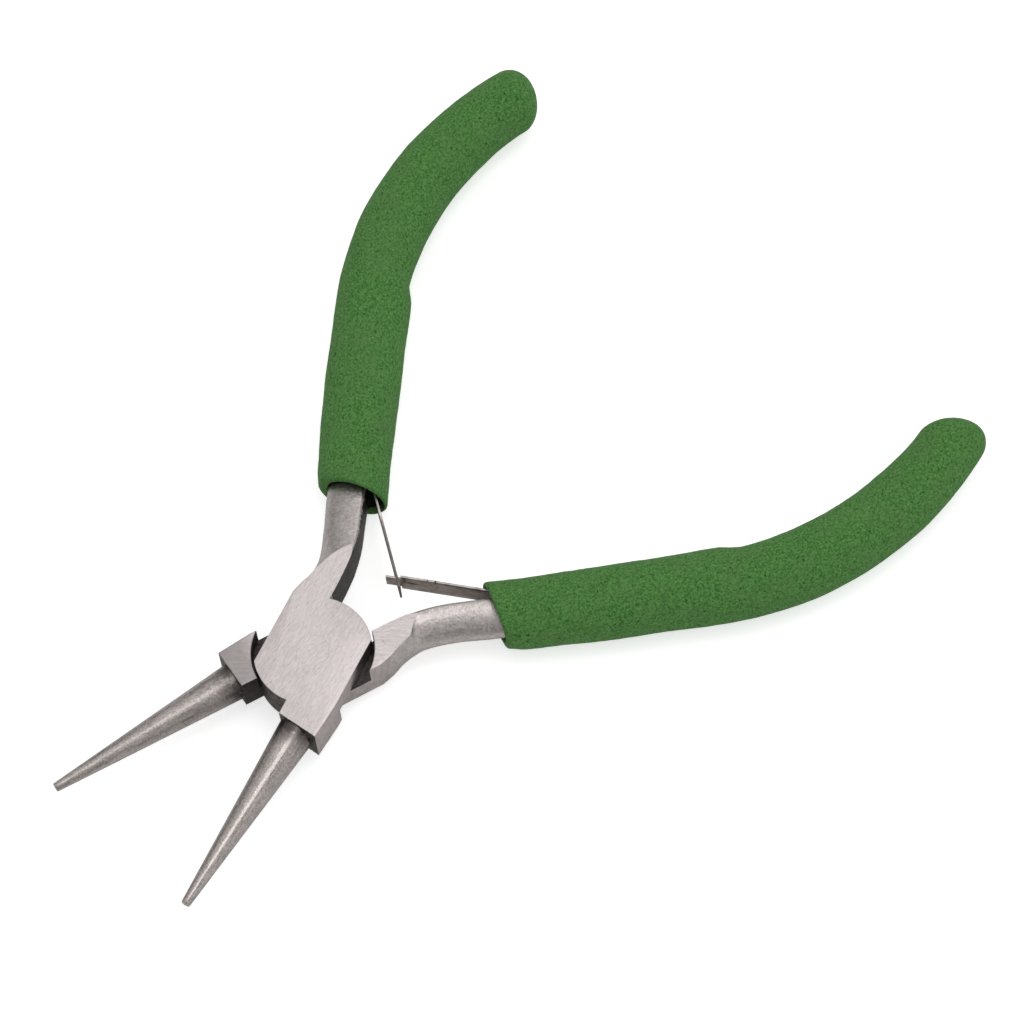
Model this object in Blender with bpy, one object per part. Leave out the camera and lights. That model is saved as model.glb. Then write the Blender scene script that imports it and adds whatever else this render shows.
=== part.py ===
"""Round-nose jewellery pliers with foam grips and a pair of interlocking leaf springs.

Frame: metres, +Z up.  The origin lies on the pivot's axis, on the back face of the joint.  +X runs
from the pivot to the jaw tips along the line that halves the jaws' opening, +Z comes out of the
front face, and +Y is the side of the front lever's jaw.  The pliers rest fully open.

Both halves are the same forging: the back one is turned over about X.  Each half is drawn in its
lever frame, which has its origin on the pivot's axis at mid thickness, x towards the jaw tip and
y towards its own jaw's side, and is then swung open about the pivot by half the opening angle.
"""

import bmesh
import bpy
from math import atan2, cos, pi, radians, sin, sqrt, tan
from mathutils import Matrix, Vector

MM = 0.001

# Overall
THICKNESS = 5.92 * MM           # joint, across the two ground faces
HALF_THICKNESS = THICKNESS / 2
HALF_OPENING = radians(17.7)    # each lever's turn from closed to open

# Lap joint
LAP_GAP = 0.08 * MM             # running gap between the two half-thickness plates
PLATE_RADIUS = 7.72 * MM        # round ends of each plate
SHOULDER_RADIUS = 8.03 * MM     # hollow shoulders that the other plate turns in
PLATE_HALF_WIDTH = 6.26 * MM

# Jaw
BLOCK_INNER = 0.10 * MM         # inner face of the block, beside the pliers' middle line
BLOCK_END_INNER = 10.3 * MM
BLOCK_END_OUTER = 10.8 * MM
BLOCK_OUTER_END = 5.84 * MM
JAW_TIP = 37.4 * MM
JAW_TIP_RADIUS = 0.62 * MM
JAW_HALF_ANGLE = radians(4.0)
JAW_INNER = 0.03 * MM           # inner line of the cone, beside the middle line
JAW_ROOT = 8.9 * MM             # where the cone starts, inside the block

# Pivot rivet, flush and countersunk at both ends
RIVET_RADIUS = 1.8 * MM
RIVET_HEAD_RADIUS = 2.15 * MM
RIVET_HEAD_DEPTH = 0.7 * MM
RIVET_GAP = 0.05 * MM

# Handle: a straight run that bends into an arc
GRIP_SLOPE = radians(21.3)
GRIP_MOUTH = Vector((-23.3, -6.45)) * MM
GRIP_STRAIGHT = 28.6 * MM       # length of the straight run
GRIP_ARC_RADIUS = 43.0 * MM
GRIP_ARC_LENGTH = 38.4 * MM
GRIP_END_LENGTH = 3.9 * MM      # rounded end, past the arc
GRIP_LENGTH = GRIP_STRAIGHT + GRIP_ARC_LENGTH + GRIP_END_LENGTH
END_SLANT = 0.45                # the rounded end reaches further along its outer side
END_SLANT_START = 60.0 * MM
MOUTH_SLANT = 0.25              # the mouth reaches further along its inner side
MOUTH_SLANT_REACH = 9.0 * MM
TANG_OFFSET = -0.65 * MM        # tang's middle, to the outer side of the grip's axis
TANG_FLAT = 2.40 * MM           # tang's middle to its flat inner face
TANG_END = 58.0 * MM            # distance from the mouth

# Leaf springs
LEAF_HALF_WIDTH = 1.65 * MM
LEAF_THICKNESS = 0.42 * MM
LEAF_ANGLE = radians(40.0)
LEAF_HINGE = Vector((-26.75, 0.5)) * MM     # middle of the free leaf's swing, beside the leaf
LEAF_CROSSING_X = -15.4 * MM    # where the two leaves cross, on the middle line
LEAF_ROOT = 14.2 * MM           # from the crossing back to the root of the free leaf
SLOTTED_TIP = 2.1 * MM          # from the crossing to the slotted leaf's tip
TONGUE_TIP = 1.5 * MM
TONGUE_SHOULDER = 0.68 * MM
TONGUE_HALF_WIDTH = 1.05 * MM
SLOT_HALF_WIDTH = 1.25 * MM
SLOT_BEFORE = 1.1 * MM
SLOT_AFTER = 1.05 * MM

# The leaf's seat strip, riveted to the tang under the grip
STRIP_START = 3.1 * MM          # distances along the grip's axis from its mouth
STRIP_END = 28.0 * MM
STRIP_GAP = 0.06 * MM
SEAT_RIVET_PLACE = 24.6 * MM
SEAT_RIVET_RADIUS = 0.65 * MM
SEAT_RIVET_DEPTH = 2.2 * MM
SEAT_HEAD_RADIUS = 1.15 * MM
SEAT_HEAD_HEIGHT = 0.5 * MM
SEAT_HOLE_GAP = 0.08 * MM

STEEL = ("steel", (0.50, 0.47, 0.45, 1.0), 0.38, 1.0)
SPRING_STEEL = ("spring_steel", (0.46, 0.42, 0.38, 1.0), 0.3, 1.0)
FOAM = ("foam", (0.055, 0.19, 0.05, 1.0), 0.9, 0.0)


# ---------------------------------------------------------------- tools

def clear_scene():
    for item in list(bpy.data.objects):
        bpy.data.objects.remove(item, do_unlink=True)


def make_material(finish):
    name, colour, roughness, metallic = finish
    material = bpy.data.materials.get(name)
    if material is None:
        material = bpy.data.materials.new(name)
        material.use_nodes = True
        shader = material.node_tree.nodes["Principled BSDF"]
        shader.inputs["Base Color"].default_value = colour
        shader.inputs["Roughness"].default_value = roughness
        shader.inputs["Metallic"].default_value = metallic
    return material


def mesh_object(name, shape):
    """Turn a bmesh into an object, with its faces pointing out."""
    bmesh.ops.recalc_face_normals(shape, faces=shape.faces)
    mesh = bpy.data.meshes.new(name)
    shape.to_mesh(mesh)
    shape.free()
    item = bpy.data.objects.new(name, mesh)
    bpy.context.collection.objects.link(item)
    return item


def loft(name, rings):
    """Join equal rings of points into one closed skin, capped at both ends."""
    shape = bmesh.new()
    rows = [[shape.verts.new(point) for point in ring] for ring in rings]
    for low, high in zip(rows, rows[1:]):
        for i in range(len(low)):
            j = (i + 1) % len(low)
            shape.faces.new((low[i], low[j], high[j], high[i]))
    shape.faces.new(rows[0])
    shape.faces.new(rows[-1])
    return mesh_object(name, shape)


def prism(name, outline, low, high):
    """Extrude a flat outline of (x, y) points from one height to another."""
    rings = [[Vector((x, y, z)) for x, y in outline] for z in (low, high)]
    return loft(name, rings)


def turned(name, profile, sides=32):
    """Turn a profile of (radius, z) points about Z."""
    rings = []
    for radius, z in profile:
        angles = [2 * pi * i / sides for i in range(sides)]
        rings.append([Vector((radius * cos(a), radius * sin(a), z)) for a in angles])
    return loft(name, rings)


def arc(radius, start, end, steps):
    angles = [start + (end - start) * i / steps for i in range(steps + 1)]
    return [(radius * cos(a), radius * sin(a)) for a in angles]


def combine(target, tool, operation):
    """Apply one exact Boolean and remove the tool."""
    modifier = target.modifiers.new(operation.lower(), "BOOLEAN")
    modifier.operation = operation
    modifier.solver = "EXACT"
    modifier.object = tool
    bpy.context.view_layer.update()
    evaluated = target.evaluated_get(bpy.context.evaluated_depsgraph_get())
    target_mesh = bpy.data.meshes.new_from_object(evaluated)
    target.modifiers.clear()
    target.data = target_mesh
    bpy.data.objects.remove(tool, do_unlink=True)


def profile_value(table, x):
    """Read a smooth value between the (place, value) pairs of a short table."""
    for (x0, v0), (x1, v1) in zip(table, table[1:]):
        if x <= x1:
            t = max(0.0, (x - x0) / (x1 - x0))
            return v0 + (v1 - v0) * t * t * (3 - 2 * t)
    return table[-1][1]


# ---------------------------------------------------------------- handle line

def grip_axis(distance):
    """Point and outward direction on the grip's axis, at a distance from its mouth."""
    if distance <= GRIP_STRAIGHT:
        heading = GRIP_SLOPE
        along = Vector((-cos(heading), -sin(heading)))
        return GRIP_MOUTH + along * distance, along
    start, along = grip_axis(GRIP_STRAIGHT)
    centre = start + Vector((along.y, -along.x)) * GRIP_ARC_RADIUS
    heading = GRIP_SLOPE - min(distance - GRIP_STRAIGHT, GRIP_ARC_LENGTH) / GRIP_ARC_RADIUS
    along = Vector((-cos(heading), -sin(heading)))
    point = centre - Vector((along.y, -along.x)) * GRIP_ARC_RADIUS
    extra = max(0.0, distance - GRIP_STRAIGHT - GRIP_ARC_LENGTH)
    return point + along * extra, along


def arc_stations(end):
    """Distances at which the tang, the bore and the skin are all drawn along the arc."""
    stations = []
    step = 4.8 * MM
    while GRIP_STRAIGHT + step * len(stations) < end:
        stations.append(GRIP_STRAIGHT + step * len(stations))
    return stations


def inward(along):
    """Unit normal to the handle line, on the side that faces the other handle."""
    return Vector((along.y, -along.x))


# ---------------------------------------------------------------- lever

def lever_outline():
    """Seen from the front: plate, block and the root of the neck."""
    corner = PLATE_HALF_WIDTH / PLATE_RADIUS
    corner_angle = atan2(corner, sqrt(1 - corner * corner))
    neck_inner = -1.4 * MM
    neck_angle = pi + atan2(-neck_inner, PLATE_RADIUS)
    block_angle = BLOCK_INNER / PLATE_RADIUS
    outline = [(BLOCK_END_OUTER, BLOCK_OUTER_END), (6.0 * MM, PLATE_HALF_WIDTH)]
    outline += arc(PLATE_RADIUS, pi - corner_angle, neck_angle, 14)
    outline += [(-10.0 * MM, neck_inner - 0.4 * MM), (-10.0 * MM, -5.4 * MM), (-7.6 * MM, -6.2 * MM)]
    outline += [(-6.6 * MM, -PLATE_HALF_WIDTH)]
    outline += arc(PLATE_RADIUS, -corner_angle, block_angle, 12)
    outline += [(BLOCK_END_INNER, BLOCK_INNER)]
    return outline


# Neck: middle line, then how far the section reaches inward, outward and in height
NECK_LINE = [
    (-5.5, -3.83), (-8.0, -3.76), (-10.0, -3.72), (-12.0, -3.78), (-14.0, -4.02),
    (-16.0, -4.48), (-18.0, -5.15), (-20.0, -5.92), (-21.8, -6.62),
]
NECK_INWARD = [(-23.5 * MM, 2.40 * MM), (-18.0 * MM, 2.45 * MM), (-12.0 * MM, 2.28 * MM), (-5.5 * MM, 2.40 * MM)]
NECK_OUTWARD = [(-23.5 * MM, 2.35 * MM), (-18.0 * MM, 2.15 * MM), (-12.0 * MM, 1.95 * MM), (-5.5 * MM, 2.38 * MM)]
NECK_HEIGHT = [
    (-26.0 * MM, 2.45 * MM), (-23.0 * MM, 2.68 * MM), (-18.0 * MM, 2.74 * MM),
    (-15.4 * MM, 2.92 * MM), (-14.6 * MM, 3.05 * MM), (-11.6 * MM, 3.35 * MM),
    (-9.6 * MM, 4.5 * MM), (-5.5 * MM, 9.0 * MM),
]


def handle_section(centre, along, inner, outer, height, taper=1.0):
    """D-shaped ring: an outer half ellipse, and a flat inner face with eased corners."""
    side = inward(along)
    ease = 0.45 * MM
    points = []
    outer_steps = 14
    for i in range(outer_steps + 1):
        a = pi / 2 + pi * i / outer_steps
        points.append((outer * cos(a), height * sin(a)))
    corner_steps = 4
    for start, corner in ((-pi / 2, ease - height), (0.0, height - ease)):
        for i in range(corner_steps + 1):
            a = start + (pi / 2) * i / corner_steps
            points.append((inner - ease + ease * cos(a), corner + ease * sin(a)))
    ring = []
    for n, z in points:
        place = centre + side * (n * taper)
        ring.append(Vector((place.x, place.y, z * taper)))
    return ring


def lever_handle():
    """Neck and tang, from inside the plate to the tang's end under the grip."""
    line = [Vector(point) * MM for point in NECK_LINE]
    rings = []
    for i, point in enumerate(line):
        ahead = line[min(i + 1, len(line) - 1)]
        behind = line[max(i - 1, 0)]
        along = (ahead - behind).normalized()
        inner = profile_value(NECK_INWARD, point.x)
        outer = profile_value(NECK_OUTWARD, point.x)
        rings.append(handle_section(point, along, inner, outer, profile_value(NECK_HEIGHT, point.x)))
    reach = GRIP_STRAIGHT + GRIP_ARC_LENGTH
    for distance in [0.6 * MM, 2.2 * MM, 4.0 * MM, 12.0 * MM] + arc_stations(TANG_END):
        centre, along = grip_axis(distance)
        centre = centre + inward(along) * TANG_OFFSET
        taper = 1.0 - 0.25 * max(0.0, distance - 40.0 * MM) / (reach - 40.0 * MM)
        height = profile_value(NECK_HEIGHT, centre.x)
        rings.append(handle_section(centre, along, TANG_FLAT, 2.45 * MM, height, taper))
    return loft("handle", rings)


def jaw_cone():
    """Tapered round jaw whose inner line lies beside the middle line."""
    sides = 40
    length = (JAW_TIP - JAW_ROOT) / cos(JAW_HALF_ANGLE)
    root_radius = JAW_TIP_RADIUS + length * tan(JAW_HALF_ANGLE)
    chamfer = 0.12 * MM
    profile = [(root_radius, 0.0), (JAW_TIP_RADIUS + chamfer * tan(JAW_HALF_ANGLE), length - chamfer),
               (JAW_TIP_RADIUS - chamfer, length)]
    cone = turned("jaw", profile, sides)
    tip_middle = JAW_INNER + JAW_TIP_RADIUS
    root_middle = tip_middle + (JAW_TIP - JAW_ROOT) * tan(JAW_HALF_ANGLE)
    lay_down = Matrix.Rotation(pi / 2, 4, "Y")
    lean = Matrix.Rotation(-JAW_HALF_ANGLE, 4, "Z")
    cone.data.transform(Matrix.Translation((JAW_ROOT, root_middle, 0)) @ lean @ lay_down)
    return cone


def rivet_profile(grow):
    """Countersunk rivet, as (radius, z) points from the back face to the front face."""
    face = HALF_THICKNESS
    return [
        (RIVET_HEAD_RADIUS + grow, -face),
        (RIVET_RADIUS + grow, -face + RIVET_HEAD_DEPTH),
        (RIVET_RADIUS + grow, face - RIVET_HEAD_DEPTH),
        (RIVET_HEAD_RADIUS + grow, face),
    ]


def seat_frame(distance, rise):
    """Matrix at a point over the tang's flat: local z points away from the tang."""
    centre, along = grip_axis(distance)
    side = inward(along)
    place = centre + side * (TANG_OFFSET + TANG_FLAT + rise)
    x = Vector((along.x, along.y, 0))
    z = Vector((side.x, side.y, 0))
    y = z.cross(x)
    frame = Matrix((x, y, z)).transposed().to_4x4()
    frame.translation = Vector((place.x, place.y, 0))
    return frame


def lever_mesh():
    """One forging in its lever frame."""
    tall = HALF_THICKNESS + 1.5 * MM
    body = prism("lever", lever_outline(), -tall, tall)
    combine(body, lever_handle(), "UNION")
    combine(body, jaw_cone(), "UNION")
    slab_size = 120 * MM
    slab = prism("ground_faces", [(-slab_size, -slab_size), (slab_size, -slab_size),
                                  (slab_size, slab_size), (-slab_size, slab_size)],
                 -HALF_THICKNESS, HALF_THICKNESS)
    combine(body, slab, "INTERSECT")
    lap = turned("lap", [(SHOULDER_RADIUS, -tall), (SHOULDER_RADIUS, LAP_GAP / 2)], 96)
    combine(body, lap, "DIFFERENCE")
    hole_profile = rivet_profile(RIVET_GAP)
    overrun = 0.5 * MM
    first = (hole_profile[0][0] + overrun / 2, hole_profile[0][1] - overrun)
    last = (hole_profile[-1][0] + overrun / 2, hole_profile[-1][1] + overrun)
    combine(body, turned("pivot_hole", [first] + hole_profile[1:-1] + [last], 48), "DIFFERENCE")
    hole = turned("seat_hole", [(SEAT_RIVET_RADIUS + SEAT_HOLE_GAP, -SEAT_RIVET_DEPTH - SEAT_HOLE_GAP),
                                (SEAT_RIVET_RADIUS + SEAT_HOLE_GAP, 1.0 * MM)], 20)
    hole.data.transform(seat_frame(SEAT_RIVET_PLACE, 0.0))
    combine(body, hole, "DIFFERENCE")
    mesh = body.data
    bpy.data.objects.remove(body, do_unlink=True)
    return mesh


# ---------------------------------------------------------------- grip

GRIP_OUTER = [      # outer side's reach from the axis, by distance from the mouth
    (0.0 * MM, 4.5 * MM), (3.0 * MM, 4.9 * MM), (14.0 * MM, 5.1 * MM), (40.0 * MM, 4.95 * MM),
    (67.0 * MM, 4.55 * MM),
]
GRIP_INNER = [      # inner side's reach: the leaf under the sleeve lifts it, then it drops
    (0.0 * MM, 4.85 * MM), (5.0 * MM, 4.60 * MM), (20.0 * MM, 4.85 * MM), (29.5 * MM, 5.15 * MM),
    (33.5 * MM, 4.45 * MM), (40.0 * MM, 4.6 * MM), (55.0 * MM, 4.6 * MM), (67.0 * MM, 4.1 * MM),
]
GRIP_DEPTH = [      # reach along Z
    (0.0 * MM, 4.65 * MM), (5.0 * MM, 4.75 * MM), (30.0 * MM, 4.9 * MM), (36.0 * MM, 4.7 * MM),
    (67.0 * MM, 4.4 * MM),
]
BORE_RADIUS = [(0.0 * MM, 3.75 * MM), (6.5 * MM, 3.5 * MM), (10.5 * MM, 3.18 * MM), (60.0 * MM, 3.1 * MM)]
BORE_SHIFT = [(0.0 * MM, 0.5 * MM), (6.5 * MM, 0.25 * MM), (10.5 * MM, 0.0 * MM), (60.0 * MM, 0.0 * MM)]
BORE_END = 60.5 * MM


def grip_ring(distance, inner, outer, depth, shift=0.0, sides=24):
    """Ring about the grip's axis, sheared to the slant of the mouth and of the rounded end."""
    centre, along = grip_axis(distance)
    side = inward(along)
    slant = MOUTH_SLANT * max(0.0, 1.0 - distance / MOUTH_SLANT_REACH) ** 2
    slant += END_SLANT * max(0.0, (distance - END_SLANT_START) / (GRIP_LENGTH - END_SLANT_START))
    ring = []
    for i in range(sides):
        a = 2 * pi * i / sides
        reach = inner if cos(a) > 0 else outer
        n = reach * cos(a) + shift
        place = centre + side * n - along * (slant * n)
        ring.append(Vector((place.x, place.y, depth * sin(a))))
    return ring


def grip_mesh():
    """Foam sleeve: outer skin from the mouth to the rounded end, then the bore back from the mouth."""
    outer_stations = [0.25, 1.0, 3.0, 6.0, 10.0, 15.0, 20.0, 25.0, 28.6, 30.0, 31.5, 33.4, 35.5, 38.2, 43.0,
                      47.8, 52.6, 57.4, 62.2, 65.0, 67.0]
    rings = []
    bore = [0.0, 3.0 * MM, 6.5 * MM, 8.5 * MM, 10.5 * MM] + arc_stations(BORE_END) + [BORE_END]
    for distance in reversed(bore):
        radius = profile_value(BORE_RADIUS, distance)
        rings.append(grip_ring(distance, radius, radius, radius, profile_value(BORE_SHIFT, distance)))
    for station in outer_stations:
        distance = station * MM
        ease = 0.35 * MM * max(0.0, 1.0 - station) ** 2
        rings.append(grip_ring(
            distance if station > 0.25 else 0.0,
            profile_value(GRIP_INNER, distance) - ease,
            profile_value(GRIP_OUTER, distance) - ease,
            profile_value(GRIP_DEPTH, distance) - ease,
        ))
    reach = GRIP_STRAIGHT + GRIP_ARC_LENGTH
    for t in (0.25, 0.5, 0.7, 0.85, 0.96):
        size = sqrt(1 - t * t)
        distance = reach + GRIP_END_LENGTH * t
        rings.append(grip_ring(
            distance,
            profile_value(GRIP_INNER, distance) * size,
            profile_value(GRIP_OUTER, distance) * size,
            profile_value(GRIP_DEPTH, distance) * size,
        ))
    grip = loft("grip", rings)
    mesh = grip.data
    bpy.data.objects.remove(grip, do_unlink=True)
    return mesh


# ---------------------------------------------------------------- leaf springs

def leaf_frame():
    """Matrix of the free leaf at rest: x along it to its tip, y across it, origin at the crossing."""
    angle = LEAF_ANGLE
    crossing = Matrix.Rotation(-HALF_OPENING, 4, "Z") @ Vector((LEAF_CROSSING_X, 0, 0))
    x = Vector((cos(angle), sin(angle), 0))
    z = Vector((-sin(angle), cos(angle), 0))
    frame = Matrix((x, z.cross(x), z)).transposed().to_4x4()
    frame.translation = crossing
    return frame


def slotted_leaf():
    """Free leaf with a closed slot near its tip."""
    half = LEAF_HALF_WIDTH
    corner = 0.3 * MM
    outline = [(-LEAF_ROOT, -half), (SLOTTED_TIP - corner, -half), (SLOTTED_TIP, -half + corner),
               (SLOTTED_TIP, half - corner), (SLOTTED_TIP - corner, half), (-LEAF_ROOT, half)]
    leaf = prism("slotted", outline, -LEAF_THICKNESS / 2, LEAF_THICKNESS / 2)
    slot = prism("slot", [(-SLOT_BEFORE, -SLOT_HALF_WIDTH), (SLOT_AFTER, -SLOT_HALF_WIDTH),
                          (SLOT_AFTER, SLOT_HALF_WIDTH), (-SLOT_BEFORE, SLOT_HALF_WIDTH)],
                 -LEAF_THICKNESS, LEAF_THICKNESS)
    combine(leaf, slot, "DIFFERENCE")
    return leaf


def tongued_leaf():
    """Free leaf whose end steps down to the tongue that goes through the slot."""
    half = LEAF_HALF_WIDTH
    tongue = TONGUE_HALF_WIDTH
    outline = [(-LEAF_ROOT, -half), (-TONGUE_SHOULDER, -half), (-TONGUE_SHOULDER, -tongue),
               (TONGUE_TIP, -tongue), (TONGUE_TIP, tongue), (-TONGUE_SHOULDER, tongue),
               (-TONGUE_SHOULDER, half), (-LEAF_ROOT, half)]
    return prism("tongued", outline, -LEAF_THICKNESS / 2, LEAF_THICKNESS / 2)


def seat_strip_mesh():
    """The leaf's seat: a strip along the tang's flat, with the rivet's hole."""
    half = LEAF_HALF_WIDTH
    low = STRIP_GAP
    high = STRIP_GAP + LEAF_THICKNESS
    length = STRIP_END - STRIP_START
    strip = prism("strip", [(0, -half), (length - 0.8 * MM, -half), (length, -half + 0.8 * MM),
                            (length, half - 0.8 * MM), (length - 0.8 * MM, half), (0, half)], low, high)
    hole = turned("strip_hole", [(SEAT_RIVET_RADIUS + SEAT_HOLE_GAP, -1.0 * MM),
                                 (SEAT_RIVET_RADIUS + SEAT_HOLE_GAP, 2.0 * MM)], 20)
    hole.location.x = SEAT_RIVET_PLACE - STRIP_START
    combine(strip, hole, "DIFFERENCE")
    strip.data.transform(seat_frame(STRIP_START, 0.0))
    mesh = strip.data
    bpy.data.objects.remove(strip, do_unlink=True)
    return mesh


def seat_rivet_mesh():
    """Small domed rivet that holds the seat strip to the tang."""
    base = STRIP_GAP + LEAF_THICKNESS + 0.05 * MM
    profile = [(SEAT_RIVET_RADIUS, -SEAT_RIVET_DEPTH), (SEAT_RIVET_RADIUS, base)]
    steps = 5
    for i in range(steps):
        a = (pi / 2) * i / steps
        profile.append((SEAT_HEAD_RADIUS * cos(a), base + SEAT_HEAD_HEIGHT * sin(a)))
    rivet = turned("seat_rivet", profile, 20)
    rivet.data.transform(seat_frame(SEAT_RIVET_PLACE, 0.0))
    mesh = rivet.data
    bpy.data.objects.remove(rivet, do_unlink=True)
    return mesh


# ---------------------------------------------------------------- assembly

def pivot_empty(name, turn_over, swing):
    """Empty on the pivot's axis that carries one half of the pliers."""
    empty = bpy.data.objects.new(name, None)
    empty.location.z = HALF_THICKNESS
    empty.rotation_euler = (pi if turn_over else 0.0, 0.0, swing)
    bpy.context.collection.objects.link(empty)
    return empty


def place(name, mesh, finish, parent, sharp=radians(30)):
    """Put one named piece under its lever's empty."""
    item = bpy.data.objects.new(name, mesh)
    item.parent = parent
    mesh.materials.clear()
    mesh.materials.append(make_material(finish))
    mesh.shade_smooth()
    mesh.set_sharp_from_angle(angle=sharp)
    bpy.context.collection.objects.link(item)
    return item


def place_leaf(name, leaf, parent):
    """Free leaf, with its origin on the axis that it swings about."""
    hinge = Matrix.Translation((LEAF_HINGE.x, LEAF_HINGE.y, 0))
    mesh = leaf.data
    mesh.transform(hinge.inverted() @ leaf_frame())
    bpy.data.objects.remove(leaf, do_unlink=True)
    item = place(name, mesh, SPRING_STEEL, parent)
    item.location = (LEAF_HINGE.x, LEAF_HINGE.y, 0)


def build():
    clear_scene()
    front = pivot_empty("front_half", False, HALF_OPENING)
    back = pivot_empty("back_half", True, -HALF_OPENING)
    lever = lever_mesh()
    grip = grip_mesh()
    strip = seat_strip_mesh()
    rivet = seat_rivet_mesh()
    for half_name, parent in (("front", front), ("back", back)):
        place("lever_" + half_name, lever, STEEL, parent)
        place("grip_" + half_name, grip, FOAM, parent)
        place("spring_seat_" + half_name, strip, SPRING_STEEL, parent)
        place("seat_rivet_" + half_name, rivet, STEEL, parent)
    place_leaf("spring_leaf_front", slotted_leaf(), front)
    place_leaf("spring_leaf_back", tongued_leaf(), back)
    pivot = turned("pivot_body", rivet_profile(0.0), 48)
    pivot_mesh = pivot.data
    bpy.data.objects.remove(pivot, do_unlink=True)
    place("pivot_rivet", pivot_mesh, STEEL, back)
    bpy.context.view_layer.update()


build()
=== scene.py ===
"""Looks of the round-nose pliers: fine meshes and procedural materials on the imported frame.

Each half is drawn in its lever frame: origin on the pivot's axis at mid thickness, x towards the jaw
tip, y towards its own jaw's side.  The front half is swung open about Z, the back one is the same
forging turned over about X.
"""

from math import atan2, cos, pi, radians, sin, sqrt, tan

import bmesh
import bpy
from mathutils import Matrix, Vector, noise


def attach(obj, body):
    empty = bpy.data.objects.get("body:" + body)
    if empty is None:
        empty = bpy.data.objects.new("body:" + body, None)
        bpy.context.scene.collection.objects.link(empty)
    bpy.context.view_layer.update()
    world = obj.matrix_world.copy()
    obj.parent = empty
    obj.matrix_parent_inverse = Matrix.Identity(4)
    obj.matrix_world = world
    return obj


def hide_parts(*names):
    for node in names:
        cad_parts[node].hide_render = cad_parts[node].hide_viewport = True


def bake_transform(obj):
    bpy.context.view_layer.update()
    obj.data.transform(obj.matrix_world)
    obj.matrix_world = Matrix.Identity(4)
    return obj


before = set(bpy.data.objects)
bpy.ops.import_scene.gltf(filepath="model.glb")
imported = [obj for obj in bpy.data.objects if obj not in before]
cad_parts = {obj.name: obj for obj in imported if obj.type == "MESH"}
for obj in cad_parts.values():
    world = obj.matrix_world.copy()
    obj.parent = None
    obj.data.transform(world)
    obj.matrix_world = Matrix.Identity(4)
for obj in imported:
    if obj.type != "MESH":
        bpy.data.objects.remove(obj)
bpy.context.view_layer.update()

MM = 0.001

# Overall
HALF_THICKNESS = 2.96 * MM
HALF_OPENING = radians(17.7)

# Lap joint and block
LAP_GAP = 0.08 * MM
PLATE_RADIUS = 7.72 * MM
SHOULDER_RADIUS = 8.03 * MM
PLATE_HALF_WIDTH = 6.26 * MM
BLOCK_INNER = 0.10 * MM
BLOCK_END_OUTER = 10.8 * MM
BLOCK_END_HALF_WIDTH = 5.84 * MM
BLOCK_START = 6.0 * MM
EDGE_ROUND = 0.09 * MM          # rounding along the edges of the ground faces
EDGE_TEAR = 0.06 * MM           # raggedness of the block's unfinished end
ROUND_SIDES = 96                # sides of the jaws, the rivet and its hole

# What grinding left different on the two halves, lengths in millimetres
FLAT_END = {"front": -15.3, "back": -14.0}          # where the ground face runs out on the neck
BLOCK_END_INNER = {"front": 9.75, "back": 10.3}     # the block's end beside the middle line
FRONT_BRUSH = radians(-5)                           # which way the brush lines run
BACK_BRUSH = radians(27)

# Jaw
JAW_TIP = 37.4 * MM
JAW_TIP_RADIUS = 0.62 * MM
JAW_HALF_ANGLE = radians(4.0)
JAW_INNER = 0.03 * MM
JAW_ROOT = 8.9 * MM
DARK_LINE_LEAN = 0.435               # how far the dark line along the jaw leans off its top line

# Pivot rivet
RIVET_RADIUS = 1.8 * MM
RIVET_HEAD_RADIUS = 2.15 * MM
RIVET_HEAD_DEPTH = 0.7 * MM
RIVET_SEAM = 0.012 * MM

# Handle line
GRIP_SLOPE = radians(21.3)
GRIP_MOUTH = Vector((-23.3, -6.45)) * MM
GRIP_STRAIGHT = 28.6 * MM
GRIP_ARC_RADIUS = 43.0 * MM
GRIP_ARC_LENGTH = 38.4 * MM
GRIP_END_LENGTH = 3.65 * MM
GRIP_BODY_LENGTH = GRIP_STRAIGHT + GRIP_ARC_LENGTH      # up to its rounded end
GRIP_LENGTH = GRIP_BODY_LENGTH + GRIP_END_LENGTH
END_SLANT = {"front": 0.18, "back": 0.40}               # how far the rounded end leans, as a slope
END_SLANT_START = 60.0 * MM
MOUTH_SLANT = 0.25
MOUTH_SLANT_REACH = 9.0 * MM
TANG_OFFSET = -0.65 * MM
TANG_FLAT = 2.40 * MM
TANG_ROUND = 2.45 * MM
TANG_TAPER_START = 40.0 * MM
TANG_TAPER = 0.25

# Leaf springs
LEAF_HALF_WIDTH = 1.65 * MM
LEAF_THICKNESS = 0.30 * MM
LEAF_ANGLE = radians(40.0)
LEAF_CROSSING_X = -15.4 * MM
LEAF_BEND_RADIUS = 3.0 * MM
SLOTTED_TIP = 1.65 * MM
TONGUE_TIP = 1.5 * MM
TONGUE_SHOULDER = 0.52 * MM
TONGUE_HALF_WIDTH = 1.05 * MM
SLOT_HALF_WIDTH = 1.25 * MM
SLOT_BEFORE = 1.1 * MM
SLOT_AFTER = 1.05 * MM
STRIP_END = 28.0 * MM
STRIP_GAP = 0.12 * MM
LEAF_EDGE_ROUND = 0.035 * MM
FREE_STATIONS = [-14.0, -10.0, -6.0, -3.0]      # along the free leaf from the crossing, millimetres

FLOOR_HEIGHT = -2.02 * MM
FLOOR_GLOW = 0.60               # the paper is overexposed for the camera alone


# ---------------------------------------------------------------- mesh tools

def linked_object(name, data):
    """Put a mesh or a camera into the scene as an object."""
    item = bpy.data.objects.new(name, data)
    bpy.context.scene.collection.objects.link(item)
    return item


def mesh_object(name, shape):
    """Turn a bmesh into an object, with its faces pointing out."""
    bmesh.ops.recalc_face_normals(shape, faces=shape.faces)
    mesh = bpy.data.meshes.new(name)
    shape.to_mesh(mesh)
    shape.free()
    return linked_object(name, mesh)


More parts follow.
